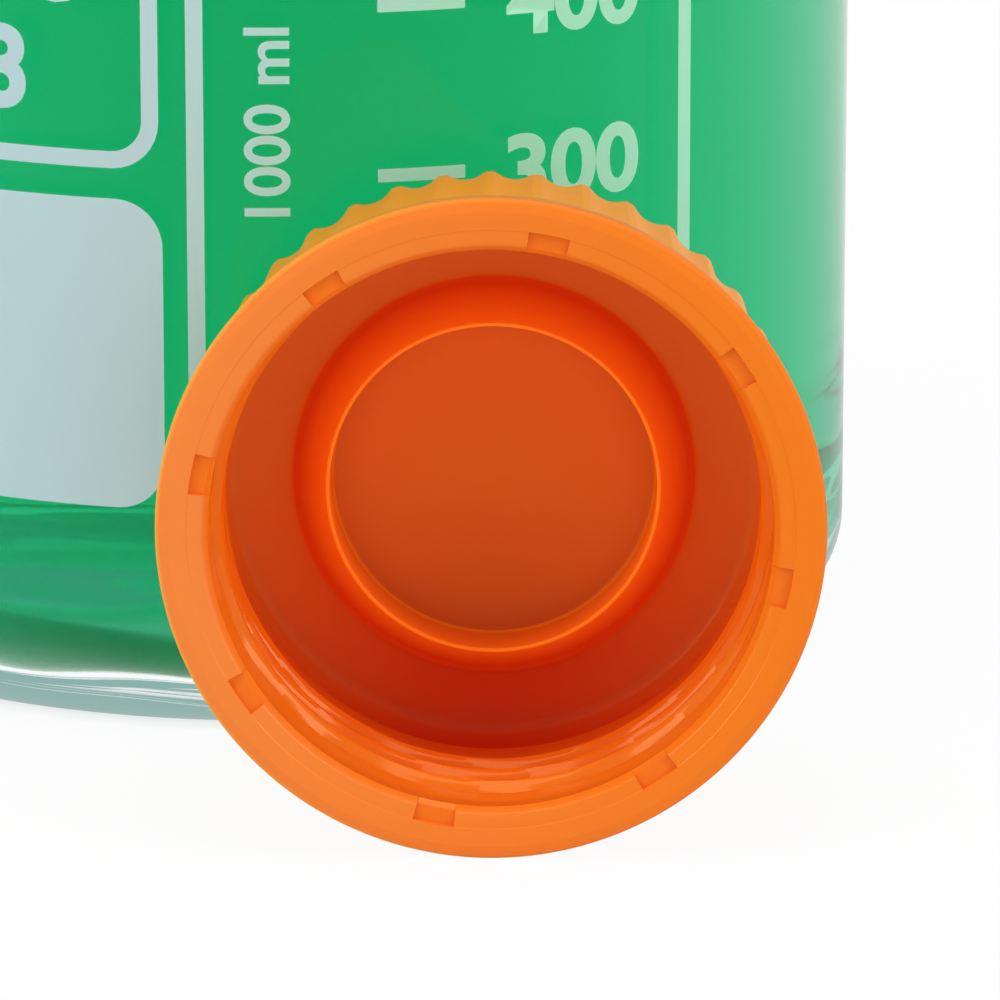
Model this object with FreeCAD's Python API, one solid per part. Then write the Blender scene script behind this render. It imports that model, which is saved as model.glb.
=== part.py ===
# Laboratory bottle of clear borosilicate glass, filled with a green liquid, with its orange
# pouring ring on the mouth and its orange screw cap taken off and lying on its side in front.
#
# Frame: millimetres, +Z up, origin on the bottle's axis in the plane it stands on. The front,
# where the cap lies, is -Y.
import FreeCAD, Part
import math
import os

# Bottle: body, base and shoulder
body_diameter = 101.0
wall = 3.5  # side wall of the body and the shoulder
straight_top = 155.0  # where the straight side ends and the shoulder begins
shoulder_rounding = 36.0
shoulder_slope = 68.0  # steepest lean of the shoulder from upright, in degrees
neck_rounding = 8.0  # hollow curve from the shoulder into the neck, outside
neck_rounding_inside = 12.0
heel_rounding = 8.0
heel_rounding_inside = 5.5
push_up = 2.2  # how far the middle of the underside stands clear of the bench
push_up_radius = 28.0  # flat middle of the push-up
bearing_width = 3.5  # flat ring that the bottle stands on
floor_thickness = 3.0
floor_fall = 1.4  # the floor inside is that much lower at its edge than in the middle
inside_cuts = 4  # straight cuts that stand for each rounding of the inside

# Bottle: neck and mouth, a 45 mm screw finish without its thread turns
total_height = 225.0
thread_diameter = 45.0  # over the turns of the thread
thread_depth = 1.6
mouth_bore = 30.4
lip_set_back = 0.7  # the lip's radius is that much less than the neck's between the turns
lip_height = 4.0
lip_chamfer = 0.8
groove_depth = 0.8  # below the neck's lip, where the pouring ring snaps in
groove_height = 3.0

# Liquid, up to the uppermost of the marks printed on the glass
first_mark_height = 20.2
mark_pitch = 14.41
mark_count = 10
liquid_film = 0.1  # kept free between the liquid and the glass

# Pouring ring
ring_plate = 1.6  # above the glass lip
ring_skirt = 0.7
ring_sleeve = 0.9
ring_sleeve_depth = 5.5
ring_funnel = 1.9  # widening of the ring's mouth at its top
ring_play = 0.12  # between the ring and the glass, where they face each other
ring_hook = 0.45  # reach of the hook under the lip
ring_hook_height = 1.2
ring_drip_edge = 0.35

# Screw cap
thread_clearance = 0.25  # between the cap's bore and the turns of the neck's thread
cap_wall = 1.97  # behind a flute, at the closed end
cap_inside_depth = 25.0
cap_plate = 1.7  # closed end
cap_bore_lead = 0.6  # chamfer of the bore at the rim
collar_height = 5.0  # plain band next to the rim
collar_step = 0.6  # from the collar down to the ribs
collar_taper = 0.4  # the collar is that much smaller in radius where the ribs begin
rim_chamfer = 0.5
rib_count = 40
rib_taper = 0.68  # the ribs stand that much further in at the closed end
flute_radius = 2.6  # of the hollow between two ribs
flute_depth = 0.6
closed_end_chamfer = 1.0
seal_bore = 27.0  # inside the sealing ring on the cap's floor
seal_height = 6.4
seal_crest_width = 0.5
seal_foot_width = 3.0
notch_count = 8
notch_reach = 1.65  # outwards from the bore, in the face of the rim
notch_width = 3.2
notch_depth = 0.5

# Where the cap lies, and how it is turned
cap_offset = 16.51  # to +X, where the plane of its rim meets the bench
cap_gap = 6.8  # from the bottle's foremost line to the closed end's foot, along -Y
cap_yaw = -2.11  # about +Z, degrees; its opening turns a little to -X
cap_roll = -0.72  # about its own axis, degrees; a rib points down
notch_turn = 11.0  # from the top of the lying cap to its first notch, clockwise from the front

UP = FreeCAD.Vector(0, 0, 1)
ORIGIN = FreeCAD.Vector(0, 0, 0)

body_radius = body_diameter / 2
inner_radius = body_radius - wall
neck_radius = thread_diameter / 2 - thread_depth
bore_radius = mouth_bore / 2
lip_radius = neck_radius - lip_set_back

cap_height = cap_inside_depth + cap_plate
cap_bore_radius = thread_diameter / 2 + thread_clearance
rib_crest_high = cap_bore_radius + cap_wall + flute_depth
rib_crest_low = rib_crest_high + rib_taper
rim_radius = rib_crest_low + collar_step + collar_taper


def rounding_points(before, corner, after, rounding, cuts):
    """Points, evenly spread, on the arc that rounds a corner between two straight runs."""
    to_before = (before - corner).normalize()
    to_after = (after - corner).normalize()
    half = to_before.getAngle(to_after) / 2
    centre = corner + (to_before + to_after).normalize() * (rounding / math.sin(half))
    start = corner + to_before * (rounding / math.tan(half)) - centre
    end = corner + to_after * (rounding / math.tan(half)) - centre
    turn = start.getAngle(end)
    points = []
    for cut in range(cuts + 1):
        from_start = math.sin(turn * cut / cuts) / math.sin(turn)
        from_end = math.sin(turn * (cuts - cut) / cuts) / math.sin(turn)
        points.append(centre + start * from_end + end * from_start)
    return points


def outline(corners, cuts):
    """Closed wire in the XZ plane through corners (radius, height, rounding).

    A rounding is an arc, or that many straight cuts where cuts isn't 0.
    """
    points = [FreeCAD.Vector(radius, 0, height) for radius, height, rounding in corners]
    runs = []
    for number, corner in enumerate(points):
        rounding = corners[number][2]
        after = points[(number + 1) % len(points)]
        if rounding:
            runs.append(rounding_points(points[number - 1], corner, after, rounding, cuts or 2))
        else:
            runs.append([corner])
    edges = []
    for number, run in enumerate(runs):
        if len(run) == 3 and not cuts:
            edges.append(Part.Arc(*run).toShape())
        elif len(run) > 1:
            edges += [Part.makeLine(start, end) for start, end in zip(run, run[1:])]
        following = runs[(number + 1) % len(runs)][0]
        if (following - run[-1]).Length > 1e-6:
            edges.append(Part.makeLine(run[-1], following))
    return Part.Wire(edges)


def turned(corners, cuts=0):
    """Solid of revolution about Z of an outline."""
    return Part.Face(outline(corners, cuts)).revolve(ORIGIN, UP, 360)


half_slope = math.tan(math.radians(shoulder_slope / 2))
shoulder_corner = straight_top + shoulder_rounding * half_slope
floor_middle = push_up + floor_thickness


def shoulder(radius_below, radius_above, corner_height, rounding_below, rounding_above):
    """The two corners of a shoulder: from a straight side onto its slope, and into the neck."""
    rise = (radius_below - radius_above) / math.tan(math.radians(shoulder_slope))
    return [
        (radius_below, corner_height, rounding_below),
        (radius_above, corner_height + rise, rounding_above),
    ]


def floor_corners(clearance):
    """The inside of the base, from the axis out to the side wall."""
    edge = floor_middle - floor_fall
    return [
        (0, floor_middle + clearance, 0),
        (push_up_radius, floor_middle + clearance, 0),
        (inner_radius - clearance, edge + clearance, heel_rounding_inside),
    ]


def glass_bottle():
    """One blown piece: the turned outside, less the cavity."""
    groove_top = total_height - lip_height
    groove_radius = lip_radius - groove_depth
    outside = [
        (0, push_up, 0),
        (push_up_radius, push_up, 0),
        (body_radius - heel_rounding - bearing_width, 0, 0),
        (body_radius, 0, heel_rounding),
    ]
    outside += shoulder(body_radius, neck_radius, shoulder_corner, shoulder_rounding, neck_rounding)
    outside += [
        (neck_radius, groove_top - groove_height, 0),
        (groove_radius, groove_top - groove_height, 0),
        (groove_radius, groove_top, 0),
        (lip_radius, groove_top, 0),
        (lip_radius, total_height - lip_chamfer, 0),
        (lip_radius - lip_chamfer, total_height, 0),
        (0, total_height, 0),
    ]
    cavity = floor_corners(0)
    cavity += shoulder(
        inner_radius,
        bore_radius,
        shoulder_corner - wall * half_slope,
        shoulder_rounding - wall,
        neck_rounding_inside,
    )
    cavity += [
        (bore_radius, total_height - lip_chamfer, 0),
        (bore_radius + lip_chamfer, total_height, 0),
        (bore_radius + lip_chamfer, total_height + lip_height, 0),
        (0, total_height + lip_height, 0),
    ]
    return turned(outside).cut(turned(cavity, inside_cuts))


def green_liquid():
    """What the bottle holds: the cavity up to the uppermost mark."""
    level = first_mark_height + (mark_count - 1) * mark_pitch
    surface = [(inner_radius - liquid_film, level, 0), (0, level, 0)]
    return turned(floor_corners(liquid_film) + surface, inside_cuts)


def pouring_ring():
    """Moulded ring on the mouth: a sleeve in the bore, a plate on the lip, a skirt that hooks under it."""
    top = total_height + ring_plate
    sleeve_outer = bore_radius - ring_play
    sleeve_inner = sleeve_outer - ring_sleeve
    skirt_inner = lip_radius + ring_play
    skirt_outer = skirt_inner + ring_skirt
    hook_top = total_height - lip_height - ring_play
    return turned(
        [
            (sleeve_inner, total_height - ring_sleeve_depth, 0),
            (sleeve_outer, total_height - ring_sleeve_depth, 0),
            (sleeve_outer, total_height - lip_chamfer, 0),
            (sleeve_outer + lip_chamfer, total_height, 0),
            (skirt_inner - lip_chamfer, total_height, 0),
            (skirt_inner, total_height - lip_chamfer, 0),
            (skirt_inner, hook_top, 0),
            (skirt_inner - ring_hook, hook_top, 0),
            (skirt_inner - ring_hook, hook_top - ring_hook_height, 0),
            (skirt_outer - ring_drip_edge, hook_top - ring_hook_height, 0),
            (skirt_outer - ring_drip_edge, total_height, 0),
            (skirt_outer, top, 0),
            (sleeve_inner + ring_funnel, top, 0),
            (sleeve_inner, total_height - ring_funnel, 0),
        ]
    )


def flutes():
    """The hollows between the ribs: leaning rods, spread evenly, that the cap's side is cut with."""
    low = FreeCAD.Vector(rib_crest_low - flute_depth + flute_radius, 0, collar_height)
    high = FreeCAD.Vector(rib_crest_high - flute_depth + flute_radius, 0, cap_height)
    along = high - low
    rod = Part.makeCylinder(flute_radius, 2 * along.Length, low, along)
    return [rod.rotated(ORIGIN, UP, 360 * (rib + 0.5) / rib_count) for rib in range(rib_count)]


def rim_notches():
    """Shallow square notches in the face of the rim, open to the bore."""
    reach = cap_bore_radius + notch_reach
    corner = FreeCAD.Vector(-notch_width / 2, 0, -notch_depth)
    block = Part.makeBox(notch_width, reach, 2 * notch_depth, corner)
    return [
        block.rotated(ORIGIN, UP, 180 + notch_turn - cap_roll + 360 * number / notch_count)
        for number in range(notch_count)
    ]


def screw_cap():
    """The cap with its open rim at z = 0 and its closed end up."""
    ribs = turned(
        [
            (0, 0, 0),
            (rib_crest_low, 0, 0),
            (rib_crest_low, collar_height, 0),
            (rib_crest_high, cap_height - closed_end_chamfer, 0),
            (rib_crest_high - closed_end_chamfer, cap_height, 0),
            (0, cap_height, 0),
        ]
    )
    collar = turned(
        [
            (0, 0, 0),
            (rim_radius - rim_chamfer, 0, 0),
            (rim_radius, rim_chamfer, 0),
            (rim_radius - collar_taper, collar_height - collar_step, 0),
            (rib_crest_low, collar_height, 0),
            (rib_crest_low - flute_depth, collar_height + flute_depth, 0),
            (0, collar_height + flute_depth, 0),
        ]
    )
    inside = turned(
        [
            (0, -1, 0),
            (cap_bore_radius + cap_bore_lead + 1, -1, 0),
            (cap_bore_radius, cap_bore_lead, 0),
            (cap_bore_radius, cap_inside_depth, 0),
            (0, cap_inside_depth, 0),
        ]
    )
    seal_inner = seal_bore / 2
    seal = turned(
        [
            (seal_inner, cap_inside_depth + cap_plate / 2, 0),
            (seal_inner, cap_inside_depth - seal_height, 0),
            (seal_inner + seal_crest_width, cap_inside_depth - seal_height, 0),
            (seal_inner + seal_foot_width, cap_inside_depth, 0),
            (seal_inner + seal_foot_width, cap_inside_depth + cap_plate / 2, 0),
        ]
    )
    cap = ribs.cut(flutes()).fuse(collar).cut(inside).fuse(seal)
    return cap.cut(rim_notches()).removeSplitter()


def lean():
    """How far the lying cap leans: its rim and its closed end both touch the bench."""
    along = cap_height - closed_end_chamfer - rim_chamfer
    return math.atan2(rim_radius - rib_crest_high, along)


def lying(cap):
    """Turns the cap onto its side, its opening to the front, and sets it on the bench."""
    angle = lean()
    below_axis = rim_radius * math.cos(angle) + rim_chamfer * math.sin(angle)
    cap = cap.rotated(ORIGIN, UP, cap_roll)
    cap = cap.rotated(ORIGIN, FreeCAD.Vector(1, 0, 0), -90 - math.degrees(angle))
    cap = cap.translated(FreeCAD.Vector(0, below_axis * math.tan(angle), below_axis))
    cap = cap.rotated(ORIGIN, UP, cap_yaw)
    return cap.translated(FreeCAD.Vector(cap_offset, -body_radius - cap_gap - cap_height, 0))


pieces = {
    "glass_bottle": glass_bottle(),
    "green_liquid": green_liquid(),
    "pouring_ring": pouring_ring(),
    "screw_cap": lying(screw_cap()),
}
os.makedirs("parts", exist_ok=True)
for name, shape in pieces.items():
    box = shape.BoundBox
    print(
        name,
        "valid" if shape.isValid() else "NOT VALID",
        len(shape.Solids),
        "solid,",
        round(shape.Volume / 1000, 2),
        "cm3, from",
        [round(value, 2) for value in (box.XMin, box.YMin, box.ZMin)],
        "to",
        [round(value, 2) for value in (box.XMax, box.YMax, box.ZMax)],
    )
    shape.exportStep("parts/" + name + ".step")
print("the cap leans", round(math.degrees(lean()), 2), "degrees")
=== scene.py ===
# %% [markdown]
# # A laboratory bottle and its screw cap
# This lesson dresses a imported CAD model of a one-litre laboratory bottle: blown glass with
# printed marks, a green liquid, a pouring ring, and a screw cap that lies in front of it.
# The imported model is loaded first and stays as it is. Each visible piece is then made again
# as a finer mesh in the same place, and the CAD solid that it stands for is hidden.

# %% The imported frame
import math

import bmesh
import bpy
import numpy as np
from mathutils import Matrix, Vector


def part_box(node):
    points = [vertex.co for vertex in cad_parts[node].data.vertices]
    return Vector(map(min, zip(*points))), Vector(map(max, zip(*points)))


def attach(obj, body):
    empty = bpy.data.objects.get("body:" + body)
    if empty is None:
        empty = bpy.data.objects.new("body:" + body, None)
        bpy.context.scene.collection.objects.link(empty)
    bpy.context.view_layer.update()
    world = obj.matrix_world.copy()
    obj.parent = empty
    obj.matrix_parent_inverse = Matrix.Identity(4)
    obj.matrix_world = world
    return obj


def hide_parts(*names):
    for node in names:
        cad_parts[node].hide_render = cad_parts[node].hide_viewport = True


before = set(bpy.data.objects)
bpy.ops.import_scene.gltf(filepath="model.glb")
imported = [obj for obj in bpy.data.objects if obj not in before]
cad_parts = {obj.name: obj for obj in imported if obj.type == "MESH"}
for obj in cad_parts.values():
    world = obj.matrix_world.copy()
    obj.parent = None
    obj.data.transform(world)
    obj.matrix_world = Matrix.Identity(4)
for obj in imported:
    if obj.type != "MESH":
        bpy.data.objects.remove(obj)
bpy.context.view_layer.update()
mm = 0.001
print("nodes:", sorted(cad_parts))

# %% [markdown]
# ## The camera
# The picture was taken from low in front with a long lens, so the bottle fills more than the
# frame and the cap is seen almost face on. A long lens has to be matched by its distance as
# well as by its angle, because the distance sets how much the marks seem to curve round the
# glass. The camera looks a little down, and a little to the right of the bottle's axis.

# %% Camera
camera_place = (0.0, -0.7052, 0.1945)
camera_down = 14.82  # degrees below the horizon
camera_right = 1.59  # degrees from the bottle's axis towards +X
camera_lens = 290.16  # millimetres, on a sensor of 36

camera = bpy.data.objects.new("camera", bpy.data.cameras.new("camera"))
bpy.context.scene.collection.objects.link(camera)
camera.location = camera_place
camera.rotation_euler = (math.radians(90 - camera_down), 0, math.radians(-camera_right))
camera.data.lens = camera_lens
bpy.context.scene.camera = camera
bpy.context.scene.view_settings.view_transform = "Standard"
print("camera at", camera_place)

# %% [markdown]
# ## From a section to a mesh
# Almost everything here was turned, blown or moulded round an axis. A section of such a piece
# is a short list of corners, each with its own rounding. The first helper walks round the
# corners and puts enough points on each arc. The second one spins the points into rows and
# joins neighbouring rows with quads. Blender's Screw modifier could spin them as well, but the
# rows of points are easy to change before they become a mesh, which is how the threads,
# ribs and notches are made further down.


# %% Sections with rounded corners
def section(corners, arc_step):
    """Points (radius, height) along corners (radius, height, rounding), in millimetres.

    An arc gets a point about every arc_step degrees.
    """
    points = [Vector((radius, height)) for radius, height, rounding in corners]
    path = []
    for number, corner in enumerate(points):
        rounding = corners[number][2]
        if not rounding:
            path.append(corner)
            continue
        to_before = (points[number - 1] - corner).normalized()
        to_after = (points[(number + 1) % len(points)] - corner).normalized()
        half = to_before.angle(to_after) / 2
        centre = corner + (to_before + to_after).normalized() * (rounding / math.sin(half))
        start = corner + to_before * (rounding / math.tan(half)) - centre
        turn = start.angle_signed(corner + to_after * (rounding / math.tan(half)) - centre)
        steps = max(2, round(abs(math.degrees(turn)) / arc_step))
        for step in range(steps + 1):
            angle = -turn * step / steps
            path.append(centre + Matrix.Rotation(angle, 2) @ start)
    return np.array([tuple(point) for point in path])


# %% Rows of points into a mesh
def link(name, mesh):
    """New object in the scene that shows this mesh or lamp."""
    piece = bpy.data.objects.new(name, mesh)
    bpy.context.scene.collection.objects.link(piece)
    return piece


def skin(name, rows, closed=False, sharp=40):
    """Piece from an array of rows, turns and places in metres; open ends close on the axis."""
    row_count, turns = rows.shape[:2]
    vertices = [tuple(point) for point in rows.reshape(-1, 3)]
    faces = []
    for row in range(row_count if closed else row_count - 1):
        low, high = row * turns, (row + 1) % row_count * turns
        for turn in range(turns):
            after = (turn + 1) % turns
            faces.append((low + turn, low + after, high + after, high + turn))
    if not closed:
        for row, order in ((0, -1), (row_count - 1, 1)):
            vertices.append(tuple(rows[row].mean(axis=0)))
            for turn in range(turns):
                pair = [row * turns + turn, row * turns + (turn + 1) % turns][::order]
                faces.append((pair[0], pair[1], len(vertices) - 1))
    mesh = bpy.data.meshes.new(name)
    mesh.from_pydata(vertices, [], faces)
    mesh.validate()
    solid = bmesh.new()
    solid.from_mesh(mesh)
    bmesh.ops.recalc_face_normals(solid, faces=solid.faces)
    solid.to_mesh(mesh)
    solid.free()
    mesh.shade_smooth()
    mesh.set_sharp_from_angle(angle=math.radians(sharp))
    triangles = sum(len(face.vertices) - 2 for face in mesh.polygons)
    print(name, len(mesh.vertices), "vertices,", triangles, "triangles")
    return link(name, mesh)


def spin(points, angles, radius_change=None):
    """Rows of places in metres: a section spun through angles, its radii changed by a function."""
    radius = np.repeat(points[:, :1], len(angles), axis=1)
    height = np.repeat(points[:, 1:], len(angles), axis=1)
    angle = np.repeat(angles[None, :], len(points), axis=0)
    if radius_change is not None:
        radius = radius + radius_change(angle, radius, height)
    return np.stack([radius * np.cos(angle), radius * np.sin(angle), height], axis=2) * mm


def even_angles(count):
    """Angles of that many places once round."""
    return np.arange(count) * 2 * math.pi / count


# %% [markdown]
# ## A screw thread on a turned piece
# A moulded thread is a rounded ridge that climbs by one pitch a turn and fades out at both
# ends. Instead of sweeping a curve and joining it to the neck, the ridge is worked out as
# a change of radius at each point of the piece. One watertight skin is left, which glass
# needs to bend light as it should.


# %% Thread
def thread(angle, height, top, pitch, turns, ridge, half_width, roundness=0.5):
    """How far the thread stands out at each angle and height; it runs down from its top."""
    turn = np.mod(angle, 2 * math.pi) / (2 * math.pi)
    place = (top - height) / pitch
    nearest = np.round(place - turn)
    along = turn + nearest
    off = np.abs(place - along) * pitch
    shape = np.where(off < half_width, np.cos(np.minimum(off / half_width, 1) * math.pi / 2), 0)
    ends = np.clip(along / 0.12, 0, 1) * np.clip((turns - along) / 0.12, 0, 1)
    return ridge * shape**roundness * ends


# %% [markdown]
# ## Finishes
# Every finish is a small node tree round the Principled shader. Such code gets long when each
# setting and link has its own line, so a helper makes a node with all that goes into it:
# a number is set on the socket, and the output of another node is linked to it.


# %% Shader helpers
def feed(tree, socket, value):
    """Gives a socket a constant, or links it to another node's output."""
    if isinstance(value, bpy.types.NodeSocket):
        tree.links.new(value, socket)
    else:
        socket.default_value = value


def node(tree, kind, **values):
    """New shader node; names in small letters are its settings, the others its sockets."""
    made = tree.nodes.new("ShaderNode" + kind)
    for name, value in values.items():
        if name.islower():
            setattr(made, name, value)
        else:
            feed(tree, made.inputs[name.replace("_", " ")], value)
    return made


def maths(tree, operation, *values):
    """What a Math node makes of two or three values."""
    step = node(tree, "Math", operation=operation)
    for socket, value in zip(step.inputs, values):
        feed(tree, socket, value)
    return step.outputs[0]


def either(tree, share, first, second):
    """The first shader where the share is 0, and the second one where it is 1."""
    mix = node(tree, "MixShader")
    for socket, value in zip(mix.inputs, (share, first, second)):
        feed(tree, socket, value)
    return mix.outputs[0]


def finish_of(name, **settings):
    """New material with its Principled shader set; gives the material, its tree and the shader."""
    material = bpy.data.materials.new(name)
    material.use_nodes = True
    tree = material.node_tree
    shader = tree.nodes["Principled BSDF"]
    for socket, value in settings.items():
        feed(tree, shader.inputs[socket.replace("_", " ")], value)
    print("finish", name)
    return material, tree, shader


# %% [markdown]
# ### Borosilicate glass
# Laboratory glass is almost colourless. It is blown into a mould, and its thick base keeps
# faint flat waves that break up the bright lines seen through it. A bump that fades out above
# the base gives them; modelled waves would need a much finer mesh for the same look.
# Light that has been mirrored again and again inside the base, and light that the floor or the cap
# send back, would both cost long paths for a colour that is known beforehand. So there the glass
# glows with a pale tint instead: painted light, an emission that stands in for the rest of the way.

# %% Glass finish
glass, glass_tree, glass_shader = finish_of(
    "clear_glass",
    Base_Color=(0.985, 0.995, 0.99, 1),
    Roughness=0.0,
    IOR=1.47,
    Transmission_Weight=1.0,
    Specular_Tint=(0.2, 0.2, 0.2, 1),
)
glass_place = node(glass_tree, "TexCoord").outputs["Object"]
flat_waves = node(glass_tree, "Mapping", Scale=(0.6, 0.6, 3.0), Vector=glass_place)
waves = node(glass_tree, "TexNoise", Scale=90.0, Detail=0.0, Vector=flat_waves.outputs["Vector"])
height_in_glass = node(glass_tree, "SeparateXYZ", Vector=glass_place).outputs["Z"]
no_waves_at, full_waves_at = 0.022, 0.004  # metres above the bench
near_base = node(
    glass_tree, "MapRange", Value=height_in_glass, From_Min=no_waves_at, From_Max=full_waves_at, To_Max=14.0
)
base_waves = maths(glass_tree, "MULTIPLY", waves.outputs["Fac"], near_base.outputs["Result"])
glass_bump = node(glass_tree, "Bump", Distance=0.00006, Height=base_waves)
feed(glass_tree, glass_shader.inputs["Normal"], glass_bump.outputs["Normal"])

# %% Where light has gone too far in the glass
glass_path = node(glass_tree, "LightPath").outputs
turned_back = maths(
    glass_tree, "MULTIPLY_ADD", glass_path["Diffuse Depth"], 2.0, glass_path["Glossy Depth"]
)
long_path = maths(glass_tree, "GREATER_THAN", turned_back, 1.5)
# Painted light: the pale tint that the glass glows with on long paths.
painted_pale_light = node(glass_tree, "Emission", Color=(0.26, 0.45, 0.41, 1))
glass_surface = either(glass_tree, long_path, glass_shader.outputs["BSDF"], painted_pale_light.outputs[0])
feed(glass_tree, glass_tree.nodes["Material Output"].inputs["Surface"], glass_surface)
print("glass nodes:", len(glass_tree.nodes))

# %% [markdown]
# ### Green liquid
# A coloured liquid has no colour on its surface: light loses its red and some of its blue on
# the way through, so the colour is deep where the way is long and pale at the sides. That is
# what Volume Absorption does inside a closed mesh.

# %% Liquid finish
liquid, liquid_tree, liquid_shader = finish_of(
    "green_liquid",
    Base_Color=(1, 1, 1, 1),
    Roughness=0.0,
    IOR=1.33,
    Transmission_Weight=1.0,
    Specular_Tint=(0.0, 0.0, 0.0, 1),
)
absorption = node(liquid_tree, "VolumeAbsorption", Color=(0.0, 0.838, 0.635, 1), Density=60.0)
feed(liquid_tree, liquid_tree.nodes["Material Output"].inputs["Volume"], absorption.outputs["Volume"])

# %% [markdown]
# ### Orange polypropylene
# The cap and the ring are moulded from an orange plastic that lets a little light in, so its
# hollows stay warm and its thin edges look yellower. Subsurface light would show that too, but
# it takes long to render and can't be steered. So that light, and the shade in the hollows, are
# painted: each point of these meshes carries its own colour with painted light and shade in it,
# its gloss, and a painted glow as attributes, and one finish reads them for both pieces.

# %% Plastic finish
plastic, plastic_tree, plastic_shader = finish_of(
    "orange_plastic",
    IOR=1.49,
    Specular_Tint=(1.0, 0.62, 0.3, 1),
    Emission_Strength=1.0,
)
# The tone is the plastic's colour with painted light and shade in it; the glow is painted light.
tone_with_painted_light = node(plastic_tree, "Attribute", attribute_name="tone").outputs
painted_glow_input = node(plastic_tree, "Attribute", attribute_name="glow").outputs
feed(plastic_tree, plastic_shader.inputs["Base Color"], tone_with_painted_light["Color"])
feed(plastic_tree, plastic_shader.inputs["Roughness"], tone_with_painted_light["Alpha"])
feed(plastic_tree, plastic_shader.inputs["Emission Color"], painted_glow_input["Color"])
rim_orange = np.array((0.906, 0.199, 0.0111))


def colour_points(piece, name, colours, alpha=1.0):
    """Gives each vertex its own colour and alpha: one for all, or an array of one each."""
    layer = piece.data.attributes.new(name, "FLOAT_COLOR", "POINT")
    values = np.empty((len(piece.data.vertices), 4), dtype=np.float32)
    values[:, :3] = colours
    values[:, 3] = alpha
    layer.data.foreach_set("color", values.ravel())


# %% [markdown]
# ### Fired enamel
# The marks are printed with a pale enamel and fired on. It is matt and slightly grey-blue, and
# the layer is so thin that the green shines through where the light comes from behind. That light
# is painted: the colour moves from grey-blue to green across the front, by place on the bottle.
# From the back of the bottle the same layer shows as pale shapes, which a Translucent shader gives.

# %% Enamel finish
enamel, enamel_tree, enamel_shader = finish_of("white_enamel", Roughness=0.55)
enamel_place = node(enamel_tree, "TexCoord").outputs["Object"]
across = node(enamel_tree, "SeparateXYZ", Vector=enamel_place).outputs["X"]
to_the_right = node(enamel_tree, "MapRange", Value=across, From_Min=-0.012, From_Max=0.02)
# Painted light: greener towards the right, as green light shining through the enamel.
painted_light_through = node(
    enamel_tree,
    "Mix",
    data_type="RGBA",
    Factor=to_the_right.outputs["Result"],
    A=(0.462, 0.62, 0.665, 1),
    B=(0.36, 0.77, 0.54, 1),
)
feed(enamel_tree, enamel_shader.inputs["Base Color"], painted_light_through.outputs["Result"])
from_behind = node(enamel_tree, "BsdfTranslucent", Color=(0.3, 0.32, 0.32, 1))
enamel_layer = node(enamel_tree, "AddShader")
feed(enamel_tree, enamel_layer.inputs[0], enamel_shader.outputs["BSDF"])
feed(enamel_tree, enamel_layer.inputs[1], from_behind.outputs["BSDF"])
feed(enamel_tree, enamel_tree.nodes["Material Output"].inputs["Surface"], enamel_layer.outputs[0])

# %% [markdown]
# ## The glass bottle
# The bottle is blown and stands on a narrow ring round a pushed-up middle. Its wall is thin
# at the side and thicker in the base, and the neck carries a rounded screw thread with
# a pitch of four millimetres. The outer and the inner section are two lists of corners, joined
# at the lip into one skin, with close rows only where the thread is.

# %% Sizes of the glass
glass_low, glass_high = (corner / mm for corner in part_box("glass_bottle"))
body_radius = (glass_high.x - glass_low.x) / 2
total_height = glass_high.z
wall = 3.5
inner_radius = body_radius - wall
straight_top = 155.0
shoulder_rounding = 36.0
shoulder_slope = math.radians(68)
neck_radius = 20.9
bore_radius = 15.2
lip_radius = 20.2
lip_height = 4.0
groove_radius = 19.4
groove_height = 3.0
push_up = 2.2
push_up_radius = 28.0
floor_thickness = 3.0
floor_fall = 1.4
heel_rounding = 8.0
heel_rounding_inside = 5.5
print("bottle", round(2 * body_radius, 2), "mm across,", round(total_height, 2), "mm high")

# %% Sections of the glass
shoulder_corner = straight_top + shoulder_rounding * math.tan(shoulder_slope / 2)


def shoulder(radius_below, radius_above, corner_height, rounding_below, rounding_above):
    """The two corners of a shoulder that slopes from one radius to a smaller one."""
    rise = (radius_below - radius_above) / math.tan(shoulder_slope)
    return [
        (radius_below, corner_height, rounding_below),
        (radius_above, corner_height + rise, rounding_above),
    ]


def base_inside(clearance):
    """The inside of the base, from the axis out to the side wall, drawn outwards by a little."""
    middle = push_up + floor_thickness - clearance
    return [
        (0.01, middle, 0),
        (push_up_radius, middle, 60),
        (inner_radius + clearance, middle - floor_fall, heel_rounding_inside),
    ]


groove_top = total_height - lip_height
outside_corners = [
    (0.01, push_up, 0),
    (push_up_radius, push_up, 20),
    (body_radius - heel_rounding - 3.5, 0, 3),
    (body_radius, 0, heel_rounding),
]
outside_corners += shoulder(body_radius, neck_radius, shoulder_corner, shoulder_rounding, 8)
outside_corners += [
    (neck_radius, groove_top - groove_height, 0.4),
    (groove_radius, groove_top - groove_height, 0.8),
    (groove_radius, groove_top, 0.8),
    (lip_radius, groove_top, 0.6),
    (lip_radius, total_height, 1.2),
]
inside_corners = base_inside(0) + shoulder(
    inner_radius,
    bore_radius,
    shoulder_corner - wall * math.tan(shoulder_slope / 2),
    shoulder_rounding - wall,
    12,
)
inside_corners += [(bore_radius, total_height, 1.2)]

# %% Closer rows where a thread or a groove needs them
def closer_rows(points, zone, step):
    """The same section with more points between two heights."""
    finer = [points[0]]
    for start, end in zip(points, points[1:]):
        middle = (start[1] + end[1]) / 2
        pieces = max(1, math.ceil(abs(end[1] - start[1]) / step)) if zone[0] < middle < zone[1] else 1
        finer += [start + (end - start) * piece / pieces for piece in range(1, pieces + 1)]
    return np.array(finer)


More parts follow.
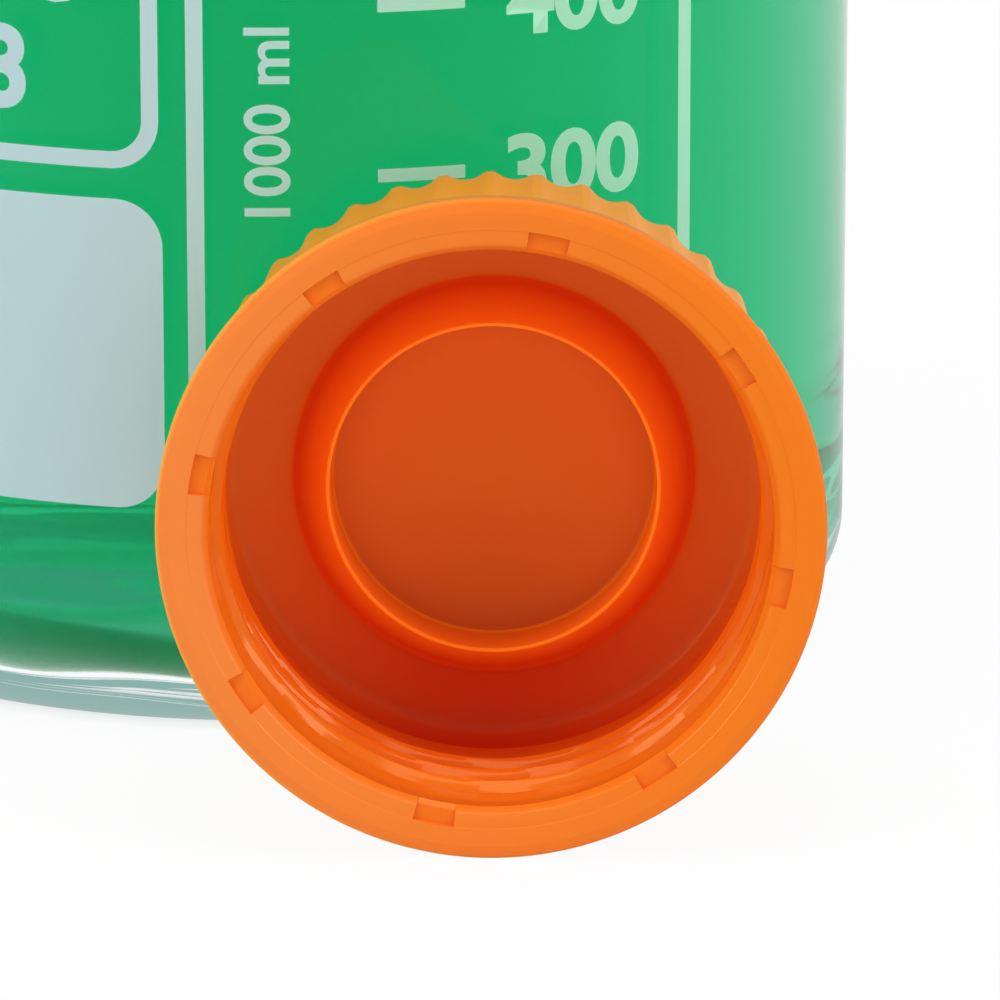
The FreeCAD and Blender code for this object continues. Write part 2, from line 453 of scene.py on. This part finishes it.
outside_path = section(outside_corners + [(bore_radius, total_height, 0)], 5)[:-1]
inside_path = section(inside_corners + [(lip_radius, total_height, 0)], 6)[:-1]
neck_foot = shoulder_corner + 17
outside_path = closer_rows(outside_path, (neck_foot, groove_top - groove_height), 0.3)
print("glass section with", len(outside_path) + len(inside_path), "points")

# %% The glass skin
thread_pitch = 4.0
thread_top = 216.0
thread_turns = 2.6
thread_ridge = 1.55
thread_half_width = 1.6


def neck_thread(angle, radius, height):
    """The neck's thread as a change of radius, for spin; it runs down clockwise, seen from above."""
    on_neck = np.abs(radius - neck_radius) < 0.6
    ridge = thread(-angle, height, thread_top, thread_pitch, thread_turns, thread_ridge, thread_half_width)
    return ridge * on_neck


glass_rows = np.concatenate(
    [spin(outside_path, even_angles(256), neck_thread), spin(inside_path[::-1], even_angles(256))]
)
glass_bottle = skin("glass_bottle_skin", glass_rows)
glass_bottle.data.materials.append(glass)
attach(glass_bottle, "root")
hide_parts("glass_bottle")

# %% [markdown]
# ## The liquid
# Between glass and liquid there is no air on the real bottle. If the two skins left a gap,
# each would mirror light that in truth passes on. So the liquid reaches a hair into the glass,
# and its surface climbs a little at the wall.

# %% The liquid skin
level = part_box("green_liquid")[1].z / mm
reach = 0.06
meniscus = 1.4
meniscus_width = 0.9
from_the_wall = (0.0, 0.3, 0.7, 1.2, 2.0, 3.2, 5.0)
climb = [(distance, math.exp(-distance / meniscus_width)) for distance in from_the_wall]
surface = [(inner_radius + reach - distance, level - meniscus * (1 - rise), 0) for distance, rise in climb]
liquid_path = section(base_inside(reach) + surface + [(0.01, level - meniscus, 0)], 6)
liquid_rows = spin(liquid_path, even_angles(192))
green_liquid = skin("green_liquid_fill", liquid_rows)
green_liquid.data.materials.append(liquid)
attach(green_liquid, "root")
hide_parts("green_liquid")

# %% [markdown]
# ## The pouring ring
# A thin moulded ring snaps over the lip. Its sharp upper edge lets the last drop run back
# without wetting the thread. Its section closes on itself, so there is no end on the axis.

# %% Section of the ring
ring_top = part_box("pouring_ring")[1].z / mm
ring_gap = 0.12
ring_bore_radius = 14.18
ring_plug = bore_radius - ring_gap
ring_plug_foot = total_height - 5.5
ring_seat = total_height + 0.02
ring_chamfer = total_height - 0.8
ring_hook = lip_radius - 0.33
ring_hook_foot = groove_top - 1.32
ring_outside = lip_radius + 0.47
ring_corners = [
    (ring_bore_radius, ring_plug_foot, 0.3),
    (ring_plug, ring_plug_foot, 0.3),
    (ring_plug, ring_chamfer, 0),
    (ring_plug + 0.8, ring_seat, 0),
    (lip_radius - 0.7, ring_seat, 0),
    (lip_radius + ring_gap, ring_chamfer, 0),
    (lip_radius + ring_gap, groove_top - ring_gap, 0),
    (ring_hook, groove_top - ring_gap, 0.15),
    (ring_hook, ring_hook_foot, 0.3),
    (ring_outside, ring_hook_foot, 0.3),
    (ring_outside, total_height + 0.3, 0.2),
    (ring_outside + 0.35, ring_top - 0.5, 0.1),
    (ring_outside + 0.13, ring_top, 0.2),
    (ring_bore_radius + 1.9, ring_top, 1.2),
    (ring_bore_radius, total_height - 1.9, 1.5),
]
print("ring", round(2 * ring_outside, 2), "mm across")

# %% The ring
pouring_ring = skin("pouring_ring_band", spin(section(ring_corners, 15), even_angles(192)), closed=True)
pouring_ring.data.materials.append(plastic)
colour_points(pouring_ring, "tone", rim_orange, 0.3)
colour_points(pouring_ring, "glow", (0, 0, 0))
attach(pouring_ring, "root")
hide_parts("pouring_ring")

# %% [markdown]
# ## The screw cap
# The cap is injection moulded: forty grip ribs between hollow flutes, a smooth collar next to
# the rim, eight shallow notches in the rim, a thread in the bore, and a raised ring on its
# floor that seals against the pouring ring. It is made upright first, with its rim at
# height 0 and its closed end up. Two grid lines crowd together at each side of a notch,
# so that the notch gets steep walls without a separate cut.

# %% Sizes of the cap
rim_radius = 27.0
collar_height = 5.0
collar_taper = 0.4
rib_count = 40
rib_crest_low = 26.0
rib_crest_high = 25.32
flute_radius = 2.6
flute_depth = 0.6
cap_height = 26.7
closed_end_rounding = 1.4
cap_inside_depth = 25.0
cap_bore_radius = 22.75
seal_bore_radius = 13.5
seal_crest_width = 0.3
seal_height = 6.4
seal_foot_radius = 16.5
notch_count = 8
notch_reach = 1.65
notch_depth = 0.45
rim_step = 0.07
notch_half_angle = math.asin(1.6 / 23.6)
cap_roll = math.radians(-0.72)
notch_turn = math.radians(11.0)

# %% Angles of the cap's grid
cap_turns = 480
notch_angles = [
    math.radians(270) + notch_turn - cap_roll + number * 2 * math.pi / notch_count
    for number in range(notch_count)
]
cap_angles = even_angles(cap_turns)
notch_wall_angle = math.radians(0.12)
for notch_angle in notch_angles:
    for side in (-1, 1):
        edge = (notch_angle + side * notch_half_angle) % (2 * math.pi)
        before = int(edge / (2 * math.pi) * cap_turns) % cap_turns
        cap_angles[before] = edge - notch_wall_angle / 2
        cap_angles[(before + 1) % cap_turns] = edge + notch_wall_angle / 2
print("cap grid with", cap_turns, "angles")

# %% Section of the cap, from the middle of its floor out, round the rim and over its back
seal_top = cap_inside_depth - seal_height
inside_of_cap = section(
    [
        (0.01, cap_inside_depth, 0),
        (seal_bore_radius, cap_inside_depth, 0.5),
        (seal_bore_radius, seal_top, 0.12),
        (seal_bore_radius + seal_crest_width, seal_top, 0.12),
        (seal_foot_radius, cap_inside_depth, 1.0),
        (cap_bore_radius, cap_inside_depth, 1.6),
        (cap_bore_radius, 0.9, 0),
    ],
    15,
)
thread_zone = (5.0, 22.3)
inside_of_cap = closer_rows(inside_of_cap, thread_zone, 0.26)
rim_of_cap = section(
    [
        (cap_bore_radius, 0.9, 0),
        (cap_bore_radius + 0.5, rim_step, 0.4),
        (cap_bore_radius + notch_reach, rim_step, 0),
        (cap_bore_radius + notch_reach + 0.1, 0, 0.05),
        (rim_radius - 1.1, 0, 0.3),
        (rim_radius, 0.32, 0.5),
        (rim_radius - collar_taper, collar_height - 0.6, 0),
    ],
    15,
)
back_of_cap = section(
    [
        (rim_radius - collar_taper, collar_height - 0.6, 0),
        (rib_crest_low - flute_depth, collar_height + flute_depth, 0),
        (rib_crest_high, cap_height, closed_end_rounding),
        (0.01, cap_height, 0),
    ],
    15,
)
back_of_cap = closer_rows(back_of_cap, (collar_height - 0.6, collar_height + flute_depth), 0.15)
back_of_cap = closer_rows(back_of_cap, (collar_height + flute_depth, cap_height - 2), 4.0)
cap_path = np.concatenate([inside_of_cap, rim_of_cap[1:], back_of_cap[1:]])
inside_rows = len(inside_of_cap)
rim_rows = len(rim_of_cap) - 1
print("cap section with", len(cap_path), "points")

# %% Places on the cap
angle = np.repeat(cap_angles[None, :], len(cap_path), axis=0)
radius = np.repeat(cap_path[:, :1], cap_turns, axis=1)
height = np.repeat(cap_path[:, 1:], cap_turns, axis=1)
row = np.arange(len(cap_path))[:, None] * np.ones((1, cap_turns))
inside = row < inside_rows
outside = row >= inside_rows + rim_rows
print("cap grid with", radius.size, "places")

# %% [markdown]
# ### The thread in the bore
# The same ridge turns inwards here. The helper lets a thread run down as the angle grows, so
# the heights are counted down from a plane above the cap: the thread then climbs with the
# angle, and is right-handed like the one on the neck. Its ridge is narrower and its top is
# rounder, which gives the thin bright lines of a polished mould.

# %% Thread in the bore
turning_plane = 30.0
cap_thread_top = 24.5
cap_thread_turns = 3.1
cap_thread_ridge = 0.9
cap_thread_half_width = 0.8
cap_thread = thread(
    angle,
    turning_plane - height,
    cap_thread_top,
    thread_pitch,
    cap_thread_turns,
    cap_thread_ridge,
    cap_thread_half_width,
    roundness=1.0,
)
in_bore = inside & (np.abs(radius - cap_bore_radius) < 0.3)
radius -= np.where(in_bore, cap_thread, 0)
print("bore inside the thread", round(2 * radius[in_bore].min(), 2), "mm across")

# %% [markdown]
# ### Ribs
# The grip ribs are what is left between hollow flutes. Looked at along the axis, a flute is an
# arc with its middle outside the cap, so the distance from the axis to that arc is worked out
# for every angle, and the ribs keep the crest where the arc would be further out. The collar
# covers the flutes' ends next to the rim.

# %% Ribs and collar
rib_turn = 2 * math.pi / rib_count
off_flute = np.mod(angle, rib_turn) - rib_turn / 2
rib_share = np.clip((height - collar_height) / (cap_height - collar_height), 0, 1)
crest = rib_crest_low + (rib_crest_high - rib_crest_low) * rib_share
flute_middle = crest - flute_depth + flute_radius
across = flute_middle * np.sin(off_flute)
hollow = flute_middle * np.cos(off_flute) - np.sqrt(np.maximum(flute_radius**2 - across**2, 0))
fluted = np.where(np.abs(across) < flute_radius, np.minimum(hollow, crest), crest)
collar = rim_radius - collar_taper - np.maximum(height - (collar_height - 0.6), 0)
beside_the_end = height < cap_height - closed_end_rounding
radius = np.where(outside & beside_the_end, np.maximum(collar, fluted), radius)
on_end_edge = outside & ~beside_the_end & (radius > 15)
radius = np.where(on_end_edge, radius - (crest - fluted), radius)
print(rib_count, "ribs,", round(float((crest - fluted).max()), 2), "mm deep")

# %% [markdown]
# ### Notches
# Eight square notches are let into the inner half of the rim. They are so shallow that their
# floor is only a step of the same grid: every place of the rim's land that lies between the
# two walls of a notch moves down to its floor.

# %% Notches in the rim
off_notches = [np.abs(np.mod(angle - middle + math.pi, 2 * math.pi) - math.pi) for middle in notch_angles]
within_notch = np.min(off_notches, axis=0) < notch_half_angle
land_edge = cap_bore_radius + notch_reach + 0.05
on_land = (row >= inside_rows - 1) & ~outside & (radius < land_edge) & (height < notch_depth)
in_notch = on_land & within_notch
height = np.where(in_notch, notch_depth, height)
print(notch_count, "notches of", notch_depth, "mm")

# %% [markdown]
# ### The cap's oranges, with painted light and shade
# The cap is moulded from one orange. Its colour here also holds painted light and shade. The ribs,
# where the wall is thin, get yellower painted light, most at the top where light falls on them,
# with a painted green reflection on the left and a peach highlight on the right. The rim gets a
# pale painted sheen and a yellow edge light on the left. The floor, the bore and the notches get
# painted shade that deepens inwards and towards the bottom. The sealing ring and the floor ring
# round it get painted light, red at the seal's foot and lighter towards its crest, as light that
# comes through the plastic. Each point of the mesh gets a colour from where it is on the cap, and
# the finish reads it.

# %% Colours in the plastic, with painted light and shade
# Painted light: a paler sheen on the left of the rim.
left_rim_painted_sheen = np.array((0.92, 0.235, 0.045))
# Painted light on the ribs: yellower at the top, a green reflection on the left, a peach highlight on the
# right.
rib_painted_light = np.array((0.965, 0.323, 0.0111))
rib_painted_green_reflection = np.array((0.768, 0.342, 0.0093))
rib_painted_highlight = np.array((0.965, 0.38, 0.093))
# Painted light: a yellow edge light along the left of the rim.
left_edge_painted_light = np.array((0.985, 0.475, 0.0185))
# Painted shade: deeper orange further into the cap.
floor_painted_shade = np.array((0.877, 0.166, 0.0093))
shaded_orange = np.array((0.67, 0.114, 0.0083))
# Painted light on the floor ring round the seal, and painted shade towards its bottom.
annulus_painted_light = np.array((0.985, 0.237, 0.0204))
bottom_painted_shade = np.array((0.768, 0.057, 0.0093))
# Painted light on the sealing ring: red at its foot, lighter orange towards its crest.
seal_foot_painted_red = np.array((0.985, 0.085, 0.0074))
seal_crest_painted_light = np.array((0.985, 0.285, 0.0139))
# Painted shade: deeper in the bore, and on the notch floors.
bore_painted_shade = np.array((0.936, 0.162, 0.0056))
notch_painted_shade = np.array((0.916, 0.176, 0.0111))
# Colour of the painted glow on the sealing ring.
seal_painted_glow = np.array((1.0, 0.09, 0.005))


def blend_tone(tone, other, share):
    """Moves colours towards another one by a share for each place."""
    return tone + (other - tone) * np.clip(share, 0, 1)[:, :, None]


# %% Oranges of the outside
to_the_left = 0.5 - 0.5 * np.cos(angle + cap_roll)
to_the_bottom = 0.5 + 0.5 * np.sin(angle + cap_roll)
# Painted sheen, paler towards the left of the rim.
tones = blend_tone(np.ones(radius.shape + (3,)) * rim_orange, left_rim_painted_sheen, to_the_left**1.5)
# Painted light on the ribs, strongest at the top.
painted_rib_light_share = outside * np.clip(height - collar_height + 0.5, 0, 1) * (1 - 0.75 * to_the_bottom)
tones = blend_tone(tones, rib_painted_light, painted_rib_light_share)
tones = blend_tone(tones, rib_painted_green_reflection, painted_rib_light_share * (2 * to_the_left - 1))
tones = blend_tone(tones, rib_painted_highlight, painted_rib_light_share * (1 - 2 * to_the_left))
# Painted edge light, along the left of the rim.
edge_width = 0.35
at_edge = (row >= inside_rows - 1) * np.clip((radius - rim_radius + edge_width) / edge_width, 0, 1)
tones = blend_tone(tones, left_edge_painted_light, at_edge * (1.6 * to_the_left - 0.6))
print("outside painted at", int((painted_rib_light_share > 0).sum()), "places on the ribs")

# %% Oranges of the floor and the sealing ring
full_shade_height = 12.0
seal_paint_width = 2.6
floor_zone = 6.0
# Painted shade, deeper the further into the cap.
tones = blend_tone(tones, floor_painted_shade, inside * height / full_shade_height)
within_seal = inside * (radius < seal_bore_radius)
tones = blend_tone(tones, shaded_orange, within_seal * to_the_bottom**3 * radius / seal_bore_radius)
# Painted light on the floor ring round the seal; painted shade towards its bottom.
beyond_seal = inside * (radius > seal_foot_radius) * (height > cap_inside_depth - floor_zone)
tones = blend_tone(tones, annulus_painted_light, beyond_seal)
tones = blend_tone(tones, bottom_painted_shade, beyond_seal * to_the_bottom**3)
# Painted light on the sealing ring, red at its foot and lighter towards its crest.
seal_share = (seal_foot_radius + 0.2 - radius) / seal_paint_width
on_seal = inside & (radius > seal_bore_radius - 0.15) & (seal_share > 0)
tones = np.where(on_seal[:, :, None], blend_tone(tones * 0 + seal_foot_painted_red, seal_crest_painted_light, seal_share), tones)
print("sealing ring painted at", int(on_seal.sum()), "places")

# %% Oranges of the bore and the notches
bore_band = 1.7
bore_shade_from, bore_shade_over = 4, 7
# The bore keeps the rim's orange at the mouth and gets painted shade deeper in; the notch floors get
# painted shade.
on_bore = inside * (np.abs(radius - cap_bore_radius) < bore_band) * (height < cap_inside_depth - 3)
tones = blend_tone(tones, rim_orange, on_bore)
tones = blend_tone(tones, bore_painted_shade, on_bore * (height - bore_shade_from) / bore_shade_over)
tones = np.where(in_notch[:, :, None], notch_painted_shade, tones)

# %% [markdown]
# ### Painted glow and gloss
# The sealing ring gets a painted glow, an emission in place of the light its thin plastic passes
# on, most at its crest and less on its shaded lower side. The mould is polished in the bore and
# plain on the outside, which is why the alpha of the tone, read as roughness, differs from zone to zone.

# %% Glow and gloss
depth_share = np.clip((cap_inside_depth - height) / seal_height, 0, 1)
# Painted glow on the sealing ring, weaker towards the bottom.
glow_strength = on_seal * (0.02 + 0.3 * depth_share) * (1 - 0.4 * to_the_bottom**2)
glow = glow_strength[:, :, None] * seal_painted_glow
matt, satin, glossy = 0.55, 0.24, 0.12
roughness = np.where(outside | (radius > rim_radius - 0.3), matt, satin)
roughness = np.where(on_bore > 0, glossy, roughness)
print("glow up to", round(float(glow.max()), 3))

# %% [markdown]
# ### Laying the cap down
# On its side the cap touches the floor with its rim and with the ribs at its closed end, so it
# leans back a little. The lean follows from the two radii and the height. The cap is
# rolled, laid down, turned a little towards the camera's left, and moved until its box sits on
# the box of the CAD cap.

# %% The cap in its place
lean = math.atan2(rim_radius - rib_crest_high, cap_height - 1.5)
cap_yaw = math.radians(-2.11)
cap_places = np.stack([radius * np.cos(angle), radius * np.sin(angle), height], axis=2) * mm
turning = (
    Matrix.Rotation(cap_yaw, 3, "Z")
    @ Matrix.Rotation(-math.pi / 2 - lean, 3, "X")
    @ Matrix.Rotation(cap_roll, 3, "Z")
)
cap_places = cap_places @ np.array(turning).T
cad_low, cad_high = (np.array(corner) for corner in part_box("screw_cap"))
own_low, own_high = cap_places.min(axis=(0, 1)), cap_places.max(axis=(0, 1))
cap_places += (cad_low + cad_high - own_low - own_high) / 2
cap_places[:, :, 2] += cad_low[2] - cap_places[:, :, 2].min()
screw_cap = skin("screw_cap_body", cap_places, sharp=30)
screw_cap.data.materials.append(plastic)


def for_every_point(values):
    """Values of the grid's points in the mesh's order, with those of its two closing points."""
    return np.concatenate([values.reshape(-1, *values.shape[2:]), values[0, :1], values[-1, :1]])


colour_points(screw_cap, "tone", for_every_point(tones), for_every_point(roughness))
colour_points(screw_cap, "glow", for_every_point(glow))
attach(screw_cap, "root")
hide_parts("screw_cap")
off_by = (own_high - own_low - cad_high + cad_low) / mm
print("cap box differs from its CAD box by", np.round(off_by, 3), "mm")

# %% [markdown]
# ## The print
# All the print is drawn flat first, across and up in millimetres, and then rolled onto the
# glass. Rolling keeps distances along the surface, so a drawing of the flat artwork stays
# true. Long faces would cut through the glass when they are rolled, so each drawing is first
# sliced into narrow strips.


# %% Rolling a flat drawing onto the glass
def glass_radius(height):
    """Outer radius of the bottle at a height, for the straight side and the shoulder's start."""
    over = max(0.0, height - straight_top)
    return body_radius - shoulder_rounding + math.sqrt(shoulder_rounding**2 - over**2)


def roll_on(name, flat, strip=1.0, off_glass=0.05):
    """Rolls a flat bmesh (across, up in mm) round the front of the glass, a hair off its surface."""
    across = [vertex.co.x for vertex in flat.verts]
    for cut in np.arange(min(across) + strip, max(across), strip):
        bmesh.ops.bisect_plane(
            flat,
            geom=flat.verts[:] + flat.edges[:] + flat.faces[:],
            plane_co=(cut, 0, 0),
            plane_no=(1, 0, 0),
        )
    for vertex in flat.verts:
        turn = vertex.co.x / body_radius
        at = glass_radius(vertex.co.y) + off_glass
        vertex.co = Vector((at * math.sin(turn), -at * math.cos(turn), vertex.co.y)) * mm
    mesh = bpy.data.meshes.new(name)
    flat.to_mesh(mesh)
    flat.free()
    mesh.materials.append(enamel)
    piece = link(name, mesh)
    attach(piece, "root")
    print(name, len(mesh.polygons), "faces")


def polygon(flat, points):
    """Adds one flat face to a drawing."""
    return flat.faces.new([flat.verts.new((x, y, 0)) for x, y in points])


# %% Rounded boxes and frames
def rounded_box(left, right, bottom, top, rounding, steps=8):
    """Points round a box, anticlockwise from its lower right corner."""
    points = []
    for x, y, start in (
        (right - rounding, bottom + rounding, -90),
        (right - rounding, top - rounding, 0),
        (left + rounding, top - rounding, 90),
        (left + rounding, bottom + rounding, 180),
    ):
        for step in range(steps + 1):
            turn = math.radians(start + 90 * step / steps)
            points.append((x + rounding * math.cos(turn), y + rounding * math.sin(turn)))
    return points


def frame_line(flat, left, right, bottom, top, rounding, line):
    """A line of even width round a box with rounded corners."""
    outer = rounded_box(left, right, bottom, top, rounding)
    inner = rounded_box(left + line, right - line, bottom + line, top - line, rounding - line)
    outer = [flat.verts.new((x, y, 0)) for x, y in outer]
    inner = [flat.verts.new((x, y, 0)) for x, y in inner]
    for number in range(len(outer)):
        after = (number + 1) % len(outer)
        flat.faces.new((outer[number], outer[after], inner[after], inner[number]))


# %% Figures
def figures(flat, words, left, bottom, tall, wide=None, upright=True, weight=0.02):
    """Adds figures to a flat drawing: tall and wide in mm, reading across or up the bottle."""
    curve = bpy.data.curves.new("figures", "FONT")
    curve.body = words
    curve.offset = weight
    curve.resolution_u = 6
    holder = link("figures", curve)
    mesh = bpy.data.meshes.new_from_object(holder.evaluated_get(bpy.context.evaluated_depsgraph_get()))
    bpy.data.objects.remove(holder)
    places = np.array([tuple(vertex.co) for vertex in mesh.vertices])
    low, high = places.min(axis=0), places.max(axis=0)
    scale_y = tall / (high[1] - low[1])
    scale_x = wide / (high[0] - low[0]) if wide else scale_y
    for vertex in mesh.vertices:
        x = (vertex.co.x - low[0]) * scale_x
        y = (vertex.co.y - low[1]) * scale_y
        vertex.co = (left + x, bottom + y, 0) if upright else (left - y, bottom + x, 0)
    flat.from_mesh(mesh)
    bpy.data.meshes.remove(mesh)


# %% [markdown]
# ### What is printed
# A frame holds the scale: a short mark and its figure for every hundred millilitres. To its
# left are a solid field to write on with a pencil and a second frame with the capacity.

# %% The frame of the scale
line = 1.46
frame_rounding = 4.1
scale_box = (-7.92, 38.2, 12.5, 157.5)  # left, right, bottom and top in mm, as in the boxes below
scale_panel = bmesh.new()
frame_line(scale_panel, *scale_box, frame_rounding, line)
roll_on("scale_panel", scale_panel)

# %% Marks and figures of the scale
first_mark = 20.2
mark_pitch = 14.41
mark_height = 1.12
mark_left, mark_right = 8.06, 15.56
figure_middle = 25.75
figure_height = 6.1
figure_drop = 3.3
marks = bmesh.new()
scale_figures = bmesh.new()
for number in range(10):
    up = first_mark + number * mark_pitch
    low, high = up - mark_height / 2, up + mark_height / 2
    polygon(marks, rounded_box(mark_left, mark_right, low, high, 0.05, 1))
    words = str(100 * (number + 1))
    wide = 13.0 if len(words) == 3 else 17.0
    left, bottom = figure_middle - wide / 2, up - figure_drop
    figures(scale_figures, words, left, bottom, figure_height, wide, weight=0.03)
roll_on("scale_marks", marks)
roll_on("scale_figures", scale_figures, 0.8)

# %% The upright capacity
upright_figures = bmesh.new()
figures(upright_figures, "1000 ml", 0.77, 45.75, 3.9, upright=False, weight=0.02)
roll_on("upright_capacity", upright_figures, 0.8)

# %% The writing field and the capacity frame
writing_box = (-58.0, -10.0, 20.3, 46.92)
writing_field = bmesh.new()
polygon(writing_field, rounded_box(*writing_box, frame_rounding))
roll_on("writing_field", writing_field)

capacity_box = (-58.0, -10.26, 49.5, 92.0)
capacity = bmesh.new()
frame_line(capacity, *capacity_box, frame_rounding, line)
figures(capacity, "1000", -45.0, 63.3, 11.0, 30.0, weight=0.03)
figures(capacity, "3.3", -33.0, 53.9, 7.3, 11.1, weight=0.03)
roll_on("capacity_frame", capacity)

# %% [markdown]
# ## Floor, light and background
# The floor is white to the camera, to mirrors and to glass, but it keeps part of its shading,
# so the bottle still throws a soft shadow. Far from the bottle it turns fully white and meets
# the white world without a line. Glass needs something to show its edges against, so the
# world is a little darker high up and three broad soft lamps hang round the bottle.

# %% Rays that the outer faces mirror
def mirrored_outside(tree, path):
    """1 for light mirrored by an outer face, 0 for light that has been inside the glass."""
    outside_glass = maths(tree, "LESS_THAN", path["Transmission Depth"], 0.5)
    return maths(tree, "MULTIPLY", outside_glass, path["Is Glossy Ray"])


# %% Floor
floor_reach = 30.0
floor_mesh = bpy.data.meshes.new("floor")
floor_mesh.from_pydata(
    [(x * floor_reach, y * floor_reach, 0) for x, y in ((-1, -1), (1, -1), (1, 1), (-1, 1))],
    [],
    [(0, 1, 2, 3)],
)
floor = link("floor", floor_mesh)
floor_material, floor_tree, floor_shader = finish_of(
    "floor_paper", Base_Color=(0.88, 0.88, 0.88, 1), Roughness=0.9, Specular_IOR_Level=0.0
)
floor_mesh.materials.append(floor_material)

# %% [markdown]
# ### How white the floor is
# Three questions decide between shaded paper and plain white at a point of the floor: how far
# out it is, whether a camera, a mirror or a glass looks at it, and for a mirror how far back it
# is. Paper in front is dark in the mirror, as in a studio where nothing stands behind the
# camera, so the front of the bottle stays clear.

# %% Floor finish
floor_place = node(floor_tree, "TexCoord").outputs["Object"]
floor_path = node(floor_tree, "LightPath").outputs
out = node(floor_tree, "VectorMath", operation="LENGTH")
feed(floor_tree, out.inputs[0], floor_place)
out_share = node(floor_tree, "MapRange", From_Max=0.5, Value=out.outputs["Value"])
far_share = node(floor_tree, "ValToRGB", Fac=out_share.outputs["Result"])
under, beside = far_share.color_ramp.elements
under.position, under.color = 0.07, (0.1, 0.1, 0.1, 1)
beside.position, beside.color = 0.094, (0.94, 0.94, 0.94, 1)
far_share.color_ramp.elements.new(1.0).color = (1, 1, 1, 1)

seen = maths(floor_tree, "MAXIMUM", floor_path["Is Camera Ray"], floor_path["Is Transmission Ray"])
seen_share = maths(floor_tree, "MULTIPLY", far_share.outputs["Color"], seen)
white_share = maths(floor_tree, "MAXIMUM", seen_share, floor_path["Is Glossy Ray"])

back = node(floor_tree, "SeparateXYZ", Vector=floor_place).outputs["Y"]
in_a_mirror = node(
    floor_tree,
    "MapRange",
    interpolation_type="SMOOTHSTEP",
    Value=back,
    From_Min=-0.35,
    From_Max=0.25,
    To_Min=0.08,
    To_Max=0.9,
)
paper_strength = node(
    floor_tree,
    "Mix",
    Factor=mirrored_outside(floor_tree, floor_path),
    A=1.0,
    B=in_a_mirror.outputs["Result"],
)
white = node(floor_tree, "Emission", Strength=paper_strength.outputs["Result"])
floor_surface = either(floor_tree, white_share, floor_shader.outputs["BSDF"], white.outputs[0])
feed(floor_tree, floor_tree.nodes["Material Output"].inputs["Surface"], floor_surface)
print("floor nodes:", len(floor_tree.nodes))

# %% [markdown]
# ### The room
# The world is the large white room round the object. It gets darker towards the ceiling, and
# for mirrors also towards the viewer, so the glass has something to show its edges against.
# The camera itself sees plain white.

# %% World
world = bpy.data.worlds.new("studio")
bpy.context.scene.world = world
world.use_nodes = True
world.cycles.sampling_method = "NONE"
room_tree = world.node_tree
room_tree.nodes.clear()
room_path = node(room_tree, "LightPath").outputs
room_place = node(room_tree, "TexCoord").outputs["Generated"]
room_side = node(room_tree, "SeparateXYZ", Vector=room_place).outputs
dome = node(
    room_tree,
    "MapRange",
    interpolation_type="SMOOTHSTEP",
    Value=room_side["Z"],
    From_Min=0.1,
    From_Max=0.8,
    To_Min=0.95,
    To_Max=0.45,
)
front = node(
    room_tree,
    "MapRange",
    interpolation_type="SMOOTHSTEP",
    Value=room_side["Y"],
    From_Min=-0.98,
    From_Max=-0.35,
    To_Min=0.08,
    To_Max=1.0,
)
front_share = node(
    room_tree, "Mix", Factor=mirrored_outside(room_tree, room_path), A=1.0, B=front.outputs["Result"]
)
room_strength = maths(room_tree, "MULTIPLY", dome.outputs["Result"], front_share.outputs["Result"])
room = node(room_tree, "Background", Color=(1, 1, 1, 1), Strength=room_strength)
plain_white = node(room_tree, "Background", Color=(1, 1, 1, 1))
backdrop = either(room_tree, room_path["Is Camera Ray"], room.outputs[0], plain_white.outputs[0])
node(room_tree, "OutputWorld", Surface=backdrop)
print("world nodes:", len(room_tree.nodes))

# %% [markdown]
# ### Lamps
# One broad soft lamp hangs over the front and two upright ones stand left and right of the
# viewer. Their strength is set so that a colour comes out about as bright as it was written.


# %% Lamps
def soft_lamp(name, place, width, height, power):
    """An area lamp that looks at the front of the cap and that the camera doesn't see."""
    lamp = bpy.data.lights.new(name, "AREA")
    lamp.shape = "RECTANGLE"
    lamp.size = width
    lamp.size_y = height
    lamp.energy = power
    holder = link(name, lamp)
    holder.location = place
    aim = Vector((0, -0.03, 0.08)) - Vector(place)
    holder.rotation_euler = aim.to_track_quat("-Z", "Y").to_euler()
    holder.visible_camera = False
    print(name, power, "W")


soft_lamp("overhead_softbox", (0.0, -0.25, 1.4), 1.2, 0.9, 7)
soft_lamp("left_softbox", (-1.2, -0.8, 0.9), 0.5, 0.9, 5)
soft_lamp("right_softbox", (1.2, -0.8, 0.9), 0.4, 0.9, 5)
